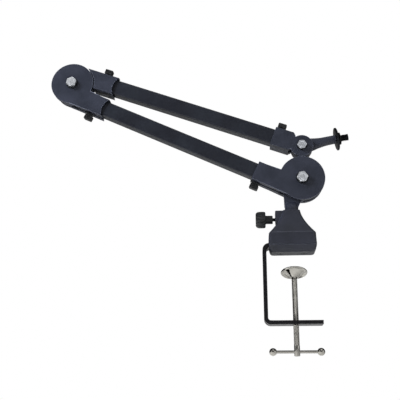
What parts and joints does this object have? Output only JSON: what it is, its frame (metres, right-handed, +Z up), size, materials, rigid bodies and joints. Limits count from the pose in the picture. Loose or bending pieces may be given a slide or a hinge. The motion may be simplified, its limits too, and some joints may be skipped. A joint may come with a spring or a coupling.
{
  "type": "folding boom stand",
  "caption": "Folding two-arm boom stand: a desk clamp with a tommy-bar screw, a swivelling socket post, friction pivots, box-section arms and a tilting head with a threaded holder stud.",
  "frame": {"origin": "where the clamp screw's axis meets the underside of the upper jaw", "axes": "+Z up along the clamp screw and the swivel post, +X to the right, away from the elbow, with the arms folded in the XZ plane, and -Y towards the front, where the bolt heads are"},
  "size_m": [0.4178, 0.0374, 0.4143],
  "materials": {
    "moulded_black": "satin moulded, dark blue-grey",
    "knob_plastic": "matt moulded black",
    "nylon": "dark nylon",
    "arm_paint": "satin powder coat, near black",
    "strap_paint": "satin black",
    "black_steel": "blackened steel",
    "bright_zinc": "bright zinc",
    "spring_steel": "oiled spring wire",
    "nickel_plate": "bright nickel plate",
    "soft_rubber": "matt rubber"
  },
  "bodies": {
    "clamp": {"clamp_strap": "strap_paint", "socket_block": "moulded_black", "jaw_shell": "moulded_black", "jaw_screw_left": "black_steel", "jaw_screw_right": "black_steel", "socket_liner": "nylon"},
    "screw_carrier": {"pad_clip": "nickel_plate"},
    "pad": {"swivel_pad": "nickel_plate"},
    "screw": {"clamp_screw": "nickel_plate"},
    "tommy_bar": {"t_bar": "nickel_plate", "t_bar_ball_left": "nickel_plate", "t_bar_ball_right": "nickel_plate"},
    "thumb_tip": {"thumbscrew_tip": "nylon"},
    "thumbscrew": {"thumbscrew_shank": "black_steel", "thumbscrew_knob": "knob_plastic"},
    "post": {"pivot_post": "moulded_black"},
    "lower_arm": {"base_fork_front": "moulded_black", "base_fork_rear": "moulded_black", "base_bolt": "bright_zinc", "base_bolt_washer": "black_steel", "base_nut": "bright_zinc", "base_washer_front": "nylon", "base_washer_rear": "nylon", "elbow_fork_front": "moulded_black", "elbow_fork_rear": "moulded_black", "elbow_bolt": "bright_zinc", "elbow_bolt_washer": "black_steel", "elbow_nut": "bright_zinc", "elbow_washer_front": "nylon", "elbow_washer_rear": "nylon", "lower_tube": "arm_paint", "lower_spring": "spring_steel", "lower_spring_link": "spring_steel", "lower_spring_plug": "black_steel", "cable_clip_base": "knob_plastic", "cable_clip_lower_elbow": "knob_plastic"},
    "upper_arm": {"elbow_tongue_front": "moulded_black", "elbow_tongue_rear": "moulded_black", "upper_tube": "arm_paint", "upper_spring": "spring_steel", "upper_spring_link": "spring_steel", "upper_spring_plug": "black_steel", "head_fork_front": "moulded_black", "head_fork_rear": "moulded_black", "head_bolt": "bright_zinc", "head_bolt_washer": "black_steel", "head_nut": "bright_zinc", "head_washer_front": "nylon", "head_washer_rear": "nylon", "cable_clip_upper_elbow": "knob_plastic", "cable_clip_head": "knob_plastic"},
    "head": {"stud_arm": "moulded_black", "holder_stud": "black_steel"},
    "seat": {"seat_washer": "soft_rubber"},
    "ring": {"lock_ring": "black_steel"}
  },
  "joints": [
    {"name": "base_swivel", "type": "hinge", "parent": "clamp", "child": "post", "pos_m": [0, 0, 0.05], "axis": [0, 0, 1], "continuous": true},
    {"name": "base_tilt", "type": "hinge", "parent": "post", "child": "lower_arm", "pos_m": [0.0153, 0, 0.101], "axis": [0, 1, 0], "range_deg": [-17, 60]},
    {"name": "elbow_fold", "type": "hinge", "parent": "lower_arm", "child": "upper_arm", "pos_m": [-0.3063, 0, 0.252], "axis": [0, -1, 0], "range_deg": [0, 150]},
    {"name": "head_tilt", "type": "hinge", "parent": "upper_arm", "child": "head", "pos_m": [0.0164, 0, 0.1468], "axis": [0, 1, 0], "range_deg": [-70, 40]},
    {"name": "seat_travel", "type": "slide", "parent": "head", "child": "seat", "axis": [0.9877, 0, 0.1564], "range_m": [0, 0.008]},
    {"name": "lock_ring_turn", "type": "hinge", "parent": "seat", "child": "ring", "pos_m": [0.0628, 0, 0.1585], "axis": [0.9877, 0, 0.1564], "range_deg": [0, 1800]},
    {"name": "clamp_travel", "type": "slide", "parent": "clamp", "child": "screw_carrier", "axis": [0, 0, 1], "range_m": [-0.05, 0.015]},
    {"name": "clamp_turn", "type": "hinge", "parent": "screw_carrier", "child": "screw", "pos_m": [0, 0, -0.06], "axis": [0, 0, 1], "range_deg": [-14400, 4320]},
    {"name": "pad_tilt", "type": "hinge", "parent": "screw_carrier", "child": "pad", "pos_m": [0, 0, -0.0296], "axis": [1, 0, 0], "range_deg": [0, 34]},
    {"name": "t_bar_slide", "type": "slide", "parent": "screw", "child": "tommy_bar", "axis": [1, 0, 0], "range_m": [-0.02, 0.02]},
    {"name": "thumb_travel", "type": "slide", "parent": "clamp", "child": "thumb_tip", "axis": [-1, 0, 0], "range_m": [0, 0.004]},
    {"name": "thumb_turn", "type": "hinge", "parent": "thumb_tip", "child": "thumbscrew", "pos_m": [-0.03, 0, 0.0463], "axis": [-1, 0, 0], "range_deg": [0, 1800]}
  ],
  "couplings": [
    {"joint": "clamp_travel", "follows": "clamp_turn", "m_per_rad": 0.00019894},
    {"joint": "thumb_travel", "follows": "thumb_turn", "m_per_rad": 0.00012732},
    {"joint": "seat_travel", "follows": "lock_ring_turn", "m_per_rad": 0.00025266}
  ]
}
